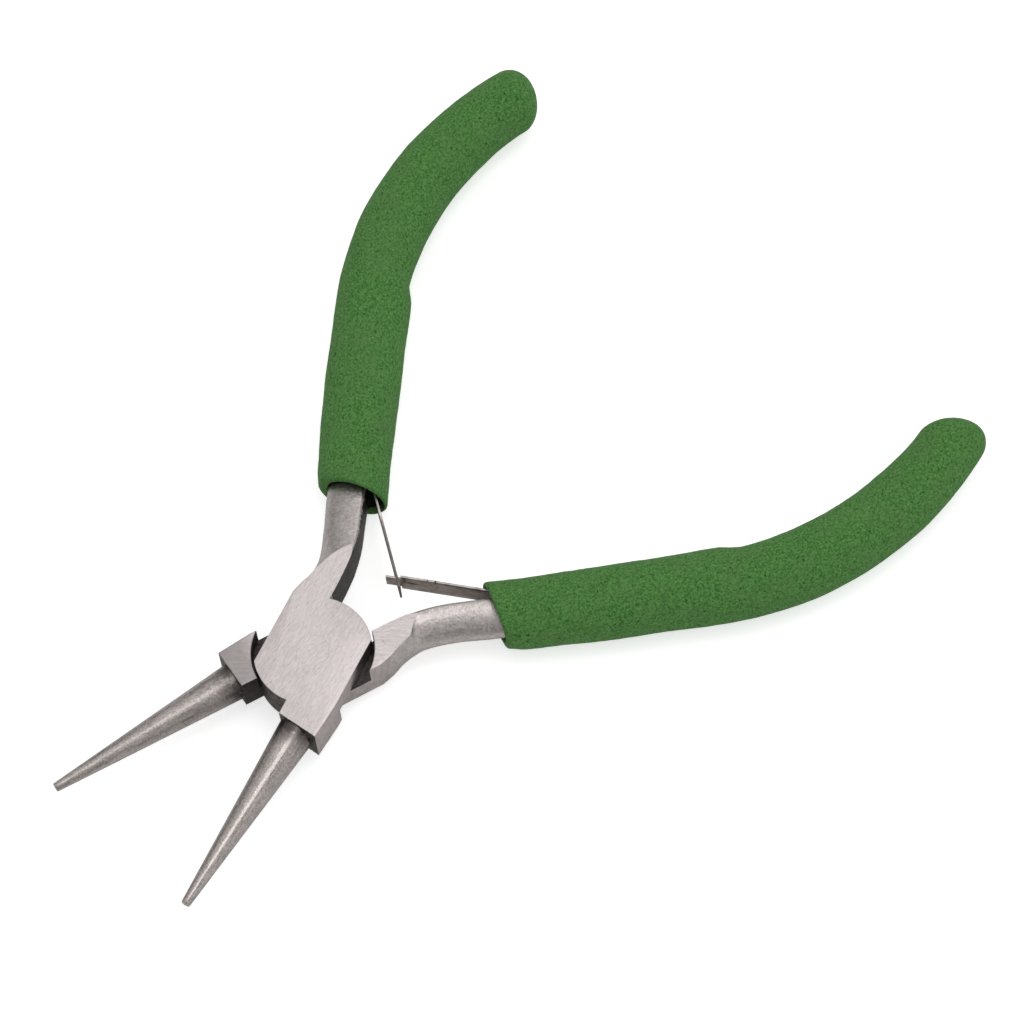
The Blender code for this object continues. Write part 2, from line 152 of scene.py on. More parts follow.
def loft(name, rings):
    """Join equal rings of points into one closed skin: first the bands, then a cap at each end."""
    shape = bmesh.new()
    rows = [[shape.verts.new(point) for point in ring] for ring in rings]
    for low, high in zip(rows, rows[1:]):
        for i in range(len(low)):
            j = (i + 1) % len(low)
            shape.faces.new((low[i], low[j], high[j], high[i]))
    shape.faces.new(rows[0])
    shape.faces.new(rows[-1])
    return mesh_object(name, shape)


def turned(name, profile, sides):
    """Turn a profile of (radius, z) points about Z."""
    rings = []
    for radius, z in profile:
        angles = [2 * pi * i / sides for i in range(sides)]
        rings.append([Vector((radius * cos(a), radius * sin(a), z)) for a in angles])
    return loft(name, rings)


def arc(radius, start, end, steps):
    """Points of an arc about the origin."""
    angles = [start + (end - start) * i / steps for i in range(steps + 1)]
    return [(radius * cos(a), radius * sin(a)) for a in angles]


def inset(outline, depth):
    """Move an anticlockwise outline inward, square to its sides."""
    sharpest = 0.4              # keeps a sharp corner from running far inward
    moved = []
    count = len(outline)
    for i, point in enumerate(outline):
        here = Vector(point)
        before = (here - Vector(outline[i - 1])).normalized()
        after = (Vector(outline[(i + 1) % count]) - here).normalized()
        normals = Vector((-before.y, before.x)), Vector((-after.y, after.x))
        middle = (normals[0] + normals[1]).normalized()
        reach = depth / max(sharpest, middle.dot(normals[0]))
        moved.append(here + middle * reach)
    return moved


def eased_prism(name, outline, half_height, ease):
    """Prism about z = 0 whose top and bottom edges are rounded by `ease`."""
    steps = 3
    levels = []
    for i in range(steps + 1):
        a = (pi / 2) * i / steps
        levels.append((half_height - ease + ease * sin(a), ease - ease * cos(a)))
    levels = [(-z, depth) for z, depth in reversed(levels)] + levels
    rings = [[Vector((p[0], p[1], z)) for p in inset(outline, depth)] for z, depth in levels]
    return loft(name, rings)


def combine(target, tool, operation):
    """Apply one exact Boolean and remove the tool."""
    modifier = target.modifiers.new(operation.lower(), "BOOLEAN")
    modifier.operation = operation
    modifier.solver = "EXACT"
    modifier.object = tool
    bpy.context.view_layer.update()
    evaluated = target.evaluated_get(bpy.context.evaluated_depsgraph_get())
    combined = bpy.data.meshes.new_from_object(evaluated)
    target.modifiers.clear()
    target.data = combined
    bpy.data.objects.remove(tool, do_unlink=True)


def profile_value(table, x):
    """Ease from one (place, value) pair of a table to the next, level at each pair; millimetres."""
    for (x0, v0), (x1, v1) in zip(table, table[1:]):
        if x <= x1:
            t = max(0.0, (x - x0) / (x1 - x0))
            return v0 + (v1 - v0) * t * t * (3 - 2 * t)
    return table[-1][1]


def curve_value(table, x):
    """Follow a smooth curve through the (place, value) pairs of a table; millimetres."""
    count = len(table)
    for i in range(count - 1):
        (x1, v1), (x2, v2) = table[i], table[i + 1]
        if min(x1, x2) <= x <= max(x1, x2):
            x0, v0 = table[max(i - 1, 0)]
            x3, v3 = table[min(i + 2, count - 1)]
            slope1 = (v2 - v0) / (x2 - x0)
            slope2 = (v3 - v1) / (x3 - x1)
            width = x2 - x1
            t = (x - x1) / width
            return (v1 * (1 + 2 * t) * (1 - t) ** 2 + v2 * t * t * (3 - 2 * t)
                    + slope1 * width * t * (1 - t) ** 2 + slope2 * width * t * t * (t - 1))
    return table[-1][1]


def lever_matrix(half):
    """Lever frame to the row's frame."""
    lift = Matrix.Translation((0, 0, HALF_THICKNESS))
    if half == "front":
        return lift @ Matrix.Rotation(HALF_OPENING, 4, "Z")
    return lift @ Matrix.Rotation(-HALF_OPENING, 4, "Z") @ Matrix.Rotation(pi, 4, "X")


def settle(item, matrix):
    """Keep each vertex's own place for the materials, then move the mesh into the row's frame."""
    mesh = item.data
    places = mesh.attributes.new("own_place", "FLOAT_VECTOR", "POINT")
    for vertex, place in zip(mesh.vertices, places.data):
        place.vector = vertex.co
    mesh.transform(matrix)


# ---------------------------------------------------------------- node tools

def put(tree, kind, inputs=None, **settings):
    """Add a node; each input is another node's socket or a plain value."""
    item = tree.nodes.new(kind)
    for key, value in settings.items():
        setattr(item, key, value)
    for key, value in (inputs or {}).items():
        socket = item.inputs[key]
        if isinstance(value, bpy.types.NodeSocket):
            tree.links.new(value, socket)
        else:
            socket.default_value = value
    return item


def blank_material(name):
    """A new material, its node tree and its shader."""
    material = bpy.data.materials.new(name)
    material.use_nodes = True
    tree = material.node_tree
    return material, tree, tree.nodes["Principled BSDF"]


def place_of(tree):
    """Place in the piece's own half, which stays with it as it moves."""
    return put(tree, "ShaderNodeAttribute", attribute_name="own_place").outputs["Vector"]


def turned_place(tree, place, angle, scale):
    """Coordinates turned about Z by `angle`, then scaled by (x, y, z)."""
    turn = put(tree, "ShaderNodeVectorRotate", {"Vector": place, "Angle": -angle}, rotation_type="Z_AXIS")
    return vector_maths(tree, "MULTIPLY", turn.outputs[0], scale)


def grain(tree, place, scale, detail=3.0, roughness=0.6):
    """Noise about 0.5; the scale is in cells per metre of the place it is given."""
    return put(tree, "ShaderNodeTexNoise", {
        "Vector": place, "Scale": scale, "Detail": detail, "Roughness": roughness,
    }).outputs["Fac"]


def brushed(tree, place, angle, scale, detail=2.0):
    """Noise drawn out into lines: cells per metre along `angle`, across it and through."""
    return grain(tree, turned_place(tree, place, angle, scale), 1.0, detail)


def spread(tree, value, low, high, to_low=0.0, to_high=1.0):
    """Map a value from one range to another, clamped."""
    return put(tree, "ShaderNodeMapRange", {
        "Value": value, "From Min": low, "From Max": high, "To Min": to_low, "To Max": to_high,
    }).outputs[0]


def maths(tree, operation, first, second=0.0):
    """One sum on two values; an operation on a single value leaves the second unread."""
    return put(tree, "ShaderNodeMath", {0: first, 1: second}, operation=operation).outputs[0]


def vector_maths(tree, operation, first, second=(0.0, 0.0, 0.0)):
    """The same on vectors; gives a value for a dot product or a length, and else a vector."""
    item = put(tree, "ShaderNodeVectorMath", {0: first, 1: second}, operation=operation)
    return item.outputs["Value" if operation in ("DOT_PRODUCT", "LENGTH") else "Vector"]


def coordinate(tree, place, axis):
    """One coordinate of a place: 0, 1 or 2."""
    return put(tree, "ShaderNodeSeparateXYZ", {"Vector": place}).outputs[axis]


def weighed(tree, first, second, share):
    """Two grains as one value, with `share` of the first."""
    rest = maths(tree, "MULTIPLY", second, 1.0 - share)
    return maths(tree, "ADD", maths(tree, "MULTIPLY", first, share), rest)


def blend_colours(tree, factor, first, second, kind="MIX"):
    """Blend two colours, each a socket or (red, green, blue)."""
    input_a, input_b, result = 6, 7, 2          # the Mix node's colour sockets
    item = put(tree, "ShaderNodeMix", {"Factor": factor}, data_type="RGBA", blend_type=kind)
    for index, value in ((input_a, first), (input_b, second)):
        if isinstance(value, bpy.types.NodeSocket):
            tree.links.new(value, item.inputs[index])
        else:
            item.inputs[index].default_value = (*value, 1.0)
    return item.outputs[result]


def bump(tree, shader, height, strength, distance):
    """Relief on the shader's normal."""
    item = put(tree, "ShaderNodeBump", {"Height": height, "Strength": strength, "Distance": distance})
    tree.links.new(item.outputs[0], shader.inputs["Normal"])


def bare_metal(tree, shader, colour, roughness):
    """Colour and roughness of a clean metal, from sockets."""
    tree.links.new(colour, shader.inputs["Base Color"])
    tree.links.new(roughness, shader.inputs["Roughness"])
    shader.inputs["Metallic"].default_value = 1.0


def crusted_metal(tree, shader, colour, metallic, roughness):
    """Colour from a socket, for metal under scale or rust, with plain values for the rest."""
    tree.links.new(colour, shader.inputs["Base Color"])
    shader.inputs["Metallic"].default_value = metallic
    shader.inputs["Roughness"].default_value = roughness


# ---------------------------------------------------------------- materials

def ground_steel(name, brush_angle, block_brightness=1.0):
    """Surface-ground face: pale, with fine straight brush lines and a few pits."""
    dark, light = (0.60, 0.545, 0.54), (0.86, 0.785, 0.78)
    clouded, pitted = (0.64, 0.59, 0.58), (0.33, 0.29, 0.28)
    material, tree, shader = blank_material(name)
    place = place_of(tree)
    lines = brushed(tree, place, brush_angle, (1500, 8000, 8000), 3.0)
    coarse_lines = brushed(tree, place, brush_angle, (420, 3000, 3000))
    tone = weighed(tree, lines, coarse_lines, 0.65)
    cloud = grain(tree, place, 420.0, 2.0)
    pits = spread(tree, grain(tree, place, 2300.0, 1.0), 0.70, 0.78)
    colour = blend_colours(tree, spread(tree, tone, 0.36, 0.64), dark, light)
    colour = blend_colours(tree, spread(tree, cloud, 0.35, 0.7, 0.0, 0.25), colour, clouded)
    colour = blend_colours(tree, maths(tree, "MULTIPLY", pits, 0.45), colour, pitted)
    if block_brightness < 1.0:
        # darker towards the block: from 5 to 8 mm along, the colour falls to the given share
        darker_towards_block = spread(tree, coordinate(tree, place, 0), 5.0 * MM, 8.0 * MM)
        colour = blend_colours(tree, darker_towards_block, colour, (block_brightness,) * 3, "MULTIPLY")
    bare_metal(tree, shader, colour, spread(tree, tone, 0.3, 0.7, 0.40, 0.52))
    bump(tree, shader, tone, 0.25, 0.02 * MM)
    return material


def satin_steel(name, light, dark, rough):
    """Tumbled forging: mottled, with small painted glints drawn out into bright streaks."""
    painted_glint_colour = (0.88, 0.82, 0.80)
    material, tree, shader = blank_material(name)
    place = place_of(tree)
    sand = grain(tree, place, 3000.0, 2.0, 0.5)
    mottle = grain(tree, place, 1100.0, 2.0, 0.5)
    painted_glints = brushed(tree, place, radians(35), (4200, 900, 4200))
    tone = weighed(tree, sand, mottle, 0.6)
    colour = blend_colours(tree, spread(tree, tone, 0.34, 0.66), dark, light)
    # painted glints: short bright streaks lighten the colour
    colour = blend_colours(tree, spread(tree, painted_glints, 0.58, 0.70, 0.0, 0.45), colour, painted_glint_colour)
    bare_metal(tree, shader, colour, spread(tree, sand, 0.3, 0.7, rough, rough + 0.14))
    bump(tree, shader, tone, 0.9, 0.08 * MM)
    return material


def jaw_steel(name, light, dark, dark_line_depth):
    """Jaw: sandy and drawn out along its length, with painted shadow at its root broken into torn
    patches, and a faint dark line along its length.
    """
    painted_glint_colour, dark_marks_and_shade = (0.86, 0.80, 0.74), (0.10, 0.085, 0.08)
    material, tree, shader = blank_material(name)
    place = place_of(tree)
    sand = grain(tree, place, 3400.0, 2.0, 0.55)
    streaks = brushed(tree, place, -JAW_HALF_ANGLE, (260, 2600, 2600))
    tone = weighed(tree, sand, streaks, 0.55)
    colour = blend_colours(tree, spread(tree, tone, 0.36, 0.64), dark, light)
    glints = spread(tree, grain(tree, place, 5200.0, 1.0), 0.60, 0.70, 0.0, 0.5)
    colour = blend_colours(tree, glints, colour, painted_glint_colour)
    # painted shadow under the block's edge: darkest at the jaw's root, fading along it, and broken into
    # torn patches
    root_shadow = spread(tree, coordinate(tree, place, 0), 11.0 * MM, 13.6 * MM, 0.95, 0.0)
    torn = maths(tree, "MULTIPLY", root_shadow, spread(tree, grain(tree, place, 1000.0, 3.0), 0.18, 0.50))
    # a faint dark line along the jaw, broken up by a coarse grain
    slope = tan(JAW_HALF_ANGLE)
    across = vector_maths(tree, "DOT_PRODUCT", place, (slope, 1.0, -DARK_LINE_LEAN))
    middle = JAW_INNER + JAW_TIP_RADIUS + JAW_TIP * slope
    away = maths(tree, "ABSOLUTE", maths(tree, "SUBTRACT", across, middle))
    dark_line = spread(tree, away, 0.01 * MM, 0.10 * MM, dark_line_depth, 0.0)
    dark_line = maths(tree, "MULTIPLY", dark_line, spread(tree, grain(tree, place, 700.0, 2.0), 0.32, 0.50))
    colour = blend_colours(tree, maths(tree, "MAXIMUM", torn, dark_line), colour, dark_marks_and_shade)
    bare_metal(tree, shader, colour, spread(tree, tone, 0.3, 0.7, 0.22, 0.38))
    bump(tree, shader, tone, 0.75, 0.06 * MM)
    return material


def side_steel(name):
    """Milled side wall: mid grey with lines across the thickness."""
    dark, light, mottled = (0.46, 0.41, 0.40), (0.62, 0.56, 0.55), (0.30, 0.27, 0.26)
    material, tree, shader = blank_material(name)
    place = place_of(tree)
    lines = brushed(tree, place, 0.0, (3200, 3200, 420))
    mottle = grain(tree, place, 900.0, 3.0)
    colour = blend_colours(tree, spread(tree, lines, 0.35, 0.65), dark, light)
    colour = blend_colours(tree, spread(tree, mottle, 0.45, 0.72, 0.0, 0.5), colour, mottled)
    bare_metal(tree, shader, colour, spread(tree, lines, 0.3, 0.7, 0.36, 0.5))
    bump(tree, shader, lines, 0.3, 0.03 * MM)
    return material


def scale_steel(name):
    """Black heat-treatment scale, with bright dashes along the handle's edges: partly scale chipped
    through to steel, partly painted glints on the burred edge.
    """
    dark, light = (0.032, 0.028, 0.027), (0.105, 0.093, 0.09)
    clouded, bare_steel_and_glint = (0.11, 0.09, 0.08), (0.88, 0.84, 0.82)
    material, tree, shader = blank_material(name)
    place = place_of(tree)
    crust = grain(tree, place, 2200.0, 4.0, 0.65)
    cloud = grain(tree, place, 600.0, 2.0)
    colour = blend_colours(tree, spread(tree, crust, 0.35, 0.65), dark, light)
    colour = blend_colours(tree, spread(tree, cloud, 0.5, 0.75, 0.0, 0.5), colour, clouded)
    height = maths(tree, "ABSOLUTE", coordinate(tree, place, 2))
    rim = spread(tree, height, 1.95 * MM, 2.25 * MM)
    near_grip = spread(tree, coordinate(tree, place, 0), -15.5 * MM, -19.0 * MM)
    rim = maths(tree, "MULTIPLY", rim, near_grip)
    # bright dashes along the edge near the grip: chipped scale and painted glints of the edge's burrs
    chips_and_glints = maths(tree, "MULTIPLY", rim, spread(tree, grain(tree, place, 1500.0, 2.0), 0.47, 0.52))
    colour = blend_colours(tree, chips_and_glints, colour, bare_steel_and_glint)
    crusted_metal(tree, shader, colour, 0.8, 0.5)
    bump(tree, shader, crust, 0.5, 0.05 * MM)
    return material


def end_steel(name):
    """Rough sawn end: brown-grey, torn, with dark hollows."""
    dark, light, sawn = (0.055, 0.046, 0.044), (0.20, 0.175, 0.168), (0.34, 0.31, 0.30)
    material, tree, shader = blank_material(name)
    place = place_of(tree)
    torn = grain(tree, place, 1500.0, 4.0, 0.7)
    lines = brushed(tree, place, 0.0, (900, 900, 5200))
    colour = blend_colours(tree, spread(tree, torn, 0.38, 0.62), dark, light)
    colour = blend_colours(tree, spread(tree, lines, 0.55, 0.75, 0.0, 0.5), colour, sawn)
    crusted_metal(tree, shader, colour, 0.9, 0.48)
    bump(tree, shader, torn, 0.6, 0.06 * MM)
    return material


def leaf_steel(name, light, dark, tarnish=0.0):
    """Spring leaf: rolled steel with a brown heat tint, small spots, and tarnish towards its tip.

    On a leaf the own place is (distance from the tip, which is negative, place across it, 0).
    """
    tinted, spotted = (0.22, 0.18, 0.16), (0.03, 0.025, 0.022)
    tarnished, dark_streak_colour = (0.05, 0.042, 0.038), (0.045, 0.036, 0.032)
    dark_streak_centre = (TONGUE_TIP + 1.9 * MM, 0.3 * MM, 0.0)       # back from the tip, and across
    material, tree, shader = blank_material(name)
    place = place_of(tree)
    lines = brushed(tree, place, 0.0, (300, 5200, 1))
    cloud = grain(tree, place, 700.0, 3.0)
    spots = spread(tree, grain(tree, place, 1700.0, 1.0), 0.70, 0.76)
    colour = blend_colours(tree, spread(tree, lines, 0.35, 0.65), dark, light)
    colour = blend_colours(tree, spread(tree, cloud, 0.45, 0.7, 0.0, 0.55), colour, tinted)
    colour = blend_colours(tree, spots, colour, spotted)
    aged = spread(tree, coordinate(tree, place, 0), -11.0 * MM, -9.0 * MM, 0.0, tarnish)
    colour = blend_colours(tree, aged, colour, tarnished)
    # a dark streak a little before the tip, drawn out along the leaf
    offset = vector_maths(tree, "ADD", place, dark_streak_centre)
    reach = vector_maths(tree, "LENGTH", vector_maths(tree, "MULTIPLY", offset, (0.5, 2.0, 1.0)))
    dark_streak = spread(tree, reach, 0.3 * MM, 0.8 * MM, 0.9, 0.0)
    dark_streak = maths(tree, "MULTIPLY", dark_streak, spread(tree, cloud, 0.3, 0.5))
    colour = blend_colours(tree, dark_streak, colour, dark_streak_colour)
    bare_metal(tree, shader, colour, spread(tree, cloud, 0.3, 0.7, 0.28, 0.45))
    bump(tree, shader, lines, 0.2, 0.02 * MM)
    return material


def foam(name, dark, light):
    """Closed-cell foam: fine cells, scattered pits and glints, and a faint dusty bloom."""
    pitted = (0.010, 0.040, 0.010)
    faded = (light[0] * 0.93, light[1] * 0.71, light[2] * 0.93)
    glinting = [value * 1.7 for value in light]
    material, tree, shader = blank_material(name)
    place = place_of(tree)
    cells = put(tree, "ShaderNodeTexVoronoi", {"Vector": place, "Scale": 3600.0}).outputs["Distance"]
    fine = grain(tree, place, 3200.0, 3.0, 0.7)
    patch = grain(tree, place, 260.0, 3.0, 0.55)
    pits = spread(tree, grain(tree, place, 2600.0, 1.0), 0.66, 0.73)
    glints = spread(tree, grain(tree, place, 3600.0, 1.0), 0.68, 0.74)
    colour = blend_colours(tree, spread(tree, fine, 0.38, 0.62), dark, light)
    colour = blend_colours(tree, spread(tree, patch, 0.42, 0.72, 0.0, 0.35), colour, faded)
    colour = blend_colours(tree, maths(tree, "MULTIPLY", pits, 0.75), colour, pitted)
    colour = blend_colours(tree, maths(tree, "MULTIPLY", glints, 0.55), colour, glinting)
    tree.links.new(colour, shader.inputs["Base Color"])
    shader.inputs["Roughness"].default_value = 0.85
    shader.inputs["Specular IOR Level"].default_value = 0.2
    shader.inputs["Sheen Weight"].default_value = 0.04
    shader.inputs["Sheen Roughness"].default_value = 0.5
    shader.inputs["Sheen Tint"].default_value = (0.95, 0.9, 0.95, 1.0)
    relief = maths(tree, "SUBTRACT", maths(tree, "ADD", cells, fine), pits)
    bump(tree, shader, relief, 0.55, 0.10 * MM)
    return material


# ---------------------------------------------------------------- handle line

def inward(along):
    """Unit normal to the handle line, on the side that faces the other handle."""
    return Vector((along.y, -along.x))


def grip_axis(distance):
    """Point on the grip's axis and direction towards its end, at a distance from its mouth."""
    if distance <= GRIP_STRAIGHT:
        along = Vector((-cos(GRIP_SLOPE), -sin(GRIP_SLOPE)))
        return GRIP_MOUTH + along * distance, along
    start, along = grip_axis(GRIP_STRAIGHT)
    centre = start + inward(along) * GRIP_ARC_RADIUS
    heading = GRIP_SLOPE - min(distance - GRIP_STRAIGHT, GRIP_ARC_LENGTH) / GRIP_ARC_RADIUS
    along = Vector((-cos(heading), -sin(heading)))
    point = centre - inward(along) * GRIP_ARC_RADIUS
    extra = max(0.0, distance - GRIP_BODY_LENGTH)
    return point + along * extra, along


# ---------------------------------------------------------------- lever

NECK_LINE = [       # (x, y) of the neck's middle line, millimetres
    (-5.5, -3.83), (-8.0, -3.76), (-10.0, -3.72), (-12.0, -3.78), (-14.0, -4.02),
    (-16.0, -4.48), (-18.0, -5.15), (-20.0, -5.92), (-21.8, -6.62),
]
NECK_INWARD = {     # the middle line's reach to the flat inner side
    "front": [(-23.5, 2.72), (-18.0, 2.60), (-12.0, 2.28), (-5.5, 2.40)],
    "back": [(-23.5, 2.40), (-18.0, 2.45), (-12.0, 2.28), (-5.5, 2.40)],
}
NECK_OUTWARD = {    # and to the round outer side
    "front": [(-23.5, 2.62), (-18.0, 2.48), (-12.0, 2.12), (-5.5, 2.38)],
    "back": [(-23.5, 2.25), (-18.0, 1.98), (-12.0, 1.86), (-5.5, 2.38)],
}
CROWN = 2 / 1.8     # the neck's section is a superellipse of exponent 1.8, leaner than an ellipse
NECK_STEP = 0.4
NECK_ROOT = [(-10.0, -1.8), (-10.0, -5.1), (-8.5, -5.75), (-6.6, -6.26)]     # the body around it
TANG_STATIONS = [0.6, 1.4, 2.2, 4.0, 12.0, 20.0, 28.6, 33.4, 38.2, 43.0, 47.8, 52.6, 57.4]


def neck_heights(half):
    """Table of the neck's half height before grinding, which cuts it flat at the ground face."""
    flat_end = FLAT_END[half]
    return [(-90.0, 2.45), (-26.0, 2.45), (-23.0, 2.70), (-18.0, 2.80), (flat_end, 2.96),
            (flat_end + 1.2, 3.28), (-12.0, 4.30), (-11.0, 5.10), (-9.6, 6.50), (-5.5, 9.0)]


def lever_outline(half):
    """Seen from the front, anticlockwise: plate, root of the neck, and block with its torn end."""
    corner = PLATE_HALF_WIDTH / PLATE_RADIUS
    corner_angle = atan2(corner, sqrt(1 - corner * corner))
    neck_angle = pi + atan2(1.4 * MM, PLATE_RADIUS)
    block_angle = BLOCK_INNER / PLATE_RADIUS
    outline = [(BLOCK_END_OUTER, BLOCK_END_HALF_WIDTH), (BLOCK_START, PLATE_HALF_WIDTH)]
    outline += arc(PLATE_RADIUS, pi - corner_angle, neck_angle, 40)
    outline += [(x * MM, y * MM) for x, y in NECK_ROOT]
    outline += arc(PLATE_RADIUS, -corner_angle, block_angle, 36)
    inner_corner = Vector((BLOCK_END_INNER[half] * MM, BLOCK_INNER))
    outer_corner = Vector((BLOCK_END_OUTER, BLOCK_END_HALF_WIDTH))
    tears = 26
    for i in range(tears):
        point = inner_corner.lerp(outer_corner, i / tears)
        ragged = noise.noise(Vector((i * 0.83, 4.1, 0.0))) if i else 0.0
        outline.append((point.x + EDGE_TEAR * ragged, point.y))
    return outline


def handle_section(centre, along, inner, outer, height, taper=1.0):
    """D-shaped ring: a crowned outer curve, and a flat inner face with eased corners."""
    side = inward(along)
    ease = 0.45 * MM
    points = []
    outer_steps = 60
    width = inner - ease + outer
    for i in range(outer_steps + 1):
        a = pi / 2 + pi * i / outer_steps
        across = abs(cos(a)) ** CROWN
        rise = abs(sin(a)) ** CROWN
        points.append((inner - ease - width * across, height * (rise if sin(a) > 0 else -rise)))
    corner_steps = 6
    for start, corner in ((-pi / 2, ease - height), (0.0, height - ease)):
        for i in range(corner_steps + 1):
            a = start + (pi / 2) * i / corner_steps
            points.append((inner - ease + ease * cos(a), corner + ease * sin(a)))
    ring = []
    for n, z in points:
        place = centre + side * (n * taper)
        ring.append(Vector((place.x, place.y, z * taper)))
    return ring


def lever_handle(half):
    """Neck and tang, from inside the plate to the tang's end under the grip."""
    heights = neck_heights(half)
    rings = []
    first, last = NECK_LINE[0][0], NECK_LINE[-1][0]
    count = round((first - last) / NECK_STEP)
    for i in range(count + 1):
        x = first + (last - first) * i / count
        before = min(first, x + NECK_STEP)
        after = max(last, x - NECK_STEP)
        point = Vector((x, curve_value(NECK_LINE, x)))
        ahead = Vector((after, curve_value(NECK_LINE, after)))
        behind = Vector((before, curve_value(NECK_LINE, before)))
        along = (ahead - behind).normalized()
        inner = profile_value(NECK_INWARD[half], x) * MM
        outer = profile_value(NECK_OUTWARD[half], x) * MM
        height = curve_value(heights, x) * MM
        rings.append(handle_section(point * MM, along, inner, outer, height))
    taper_run = GRIP_BODY_LENGTH - TANG_TAPER_START
    for distance in (station * MM for station in TANG_STATIONS):
        centre, along = grip_axis(distance)
        centre = centre + inward(along) * TANG_OFFSET
        taper = 1.0 - TANG_TAPER * max(0.0, distance - TANG_TAPER_START) / taper_run
        height = curve_value(heights, centre.x / MM) * MM
        leaving = max(0.0, 1.0 - distance / (3.0 * MM))     # still partly the neck's own section
        inner = TANG_FLAT + (NECK_INWARD[half][0][1] * MM - TANG_FLAT) * leaving
        outer = TANG_ROUND + (NECK_OUTWARD[half][0][1] * MM - TANG_ROUND) * leaving
        rings.append(handle_section(centre, along, inner, outer, height, taper))
    return loft("handle", rings)


def jaw_cone():
    """Tapered round jaw whose inner line lies beside the middle line."""
    length = (JAW_TIP - JAW_ROOT) / cos(JAW_HALF_ANGLE)
    slope = tan(JAW_HALF_ANGLE)
    root_radius = JAW_TIP_RADIUS + length * slope
    chamfer = 0.12 * MM
    profile = [(root_radius, 0.0)]
    segments = 40
    for i in range(1, segments):
        s = (length - chamfer) * i / segments
        profile.append((root_radius - s * slope, s))
    profile += [(JAW_TIP_RADIUS + chamfer * slope, length - chamfer),
                (JAW_TIP_RADIUS - 0.3 * chamfer, length - 0.3 * chamfer),
                (JAW_TIP_RADIUS - chamfer, length)]
    cone = turned("jaw", profile, ROUND_SIDES)
    tip_middle = JAW_INNER + JAW_TIP_RADIUS
    root_middle = tip_middle + (JAW_TIP - JAW_ROOT) * slope
    lay_down = Matrix.Rotation(pi / 2, 4, "Y")
    lean = Matrix.Rotation(-JAW_HALF_ANGLE, 4, "Z")
    cone.data.transform(Matrix.Translation((JAW_ROOT, root_middle, 0)) @ lean @ lay_down)
    return cone


def rivet_profile(grow):
    """Countersunk rivet, as (radius, z) points from the back face to the front face."""
    face = HALF_THICKNESS
    return [
        (RIVET_HEAD_RADIUS + grow, -face),
        (RIVET_RADIUS + grow, -face + RIVET_HEAD_DEPTH),
        (RIVET_RADIUS + grow, face - RIVET_HEAD_DEPTH),
        (RIVET_HEAD_RADIUS + grow, face),
    ]


def lever_mesh(half):
    """One forging in its lever frame."""
    body = eased_prism("lever", lever_outline(half), HALF_THICKNESS, EDGE_ROUND)
    handle = lever_handle(half)
    wide = 120 * MM
    corners = [(-wide, -wide), (wide, -wide), (wide, wide), (-wide, wide)]
    faces = (-HALF_THICKNESS, HALF_THICKNESS)
    slab = loft("slab", [[Vector((x, y, z)) for x, y in corners] for z in faces])
    combine(handle, slab, "INTERSECT")
    combine(body, handle, "UNION")
    combine(body, jaw_cone(), "UNION")
    lap = turned("lap", [       # flared where it leaves the back face, to ease the shoulders' edges
        (SHOULDER_RADIUS + 4 * EDGE_ROUND, -HALF_THICKNESS - 3 * EDGE_ROUND),
        (SHOULDER_RADIUS, -HALF_THICKNESS + EDGE_ROUND),
        (SHOULDER_RADIUS, LAP_GAP / 2),
    ], 2 * ROUND_SIDES)
    combine(body, lap, "DIFFERENCE")
    hole = rivet_profile(RIVET_SEAM)
    overrun = 0.5 * MM          # past both faces, so that the cut is clean
    hole[0] = (hole[0][0] + overrun / 2, hole[0][1] - overrun)
    hole[-1] = (hole[-1][0] + overrun / 2, hole[-1][1] + overrun)
    combine(body, turned("pivot_hole", hole, ROUND_SIDES), "DIFFERENCE")
    mesh = body.data
    bpy.data.objects.remove(body, do_unlink=True)
    return mesh


GROUND, SATIN, JAW, SIDE, SCALE, END = range(6)


def lever_finish(centre, normal):
    """Which finish a face of the lever has, from where it is (in millimetres) and where it faces."""
    x, y, z = centre / MM
    radius = sqrt(x * x + y * y)
    top = HALF_THICKNESS / MM
    on_ground_face = abs(normal.z) > 0.999 and abs(z) > top - 0.001
    on_eased_edge = abs(normal.z) > 0.3 and abs(z) > top - 0.12 and x > -9.6
    if on_ground_face or on_eased_edge:
        return GROUND
    on_lap_floor = normal.z < -0.9 and radius < 8.1
    on_lap_wall = abs(radius - SHOULDER_RADIUS / MM) < 0.05 and z < 0.1
    if on_lap_floor or on_lap_wall:
        return SCALE
    on_jaw_root = x > 9.7 and abs(normal.x) < 0.5 and abs(z) < 2.6 and 0.15 < y < 5.2
    if x > BLOCK_END_OUTER / MM + 0.1 or on_jaw_root:
        return JAW
    on_block_end = x > 9.6 and normal.x > 0.7
    on_plate_rim = abs(radius - PLATE_RADIUS / MM) < 0.06
    if on_block_end or on_plate_rim:
        return END
    on_block_inner_wall = x > 7.7 and normal.y < -0.9
    if on_block_inner_wall:
        return SCALE
    if x > -8.0:
        return SIDE
    side = inward(grip_axis(0.0)[1]) if x < -15.0 else Vector((0.0, 1.0))
    on_flat_inner_side = normal.x * side.x + normal.y * side.y > 0.86
    return SCALE if on_flat_inner_side else SATIN


def sharpen_between_finishes(mesh):
    """Make the edges crisp where the finish changes."""
    shape = bmesh.new()
    shape.from_mesh(mesh)
    for edge in shape.edges:
        finishes = {face.material_index for face in edge.link_faces}
        if len(finishes) > 1:
            edge.smooth = False
    shape.to_mesh(mesh)
    shape.free()


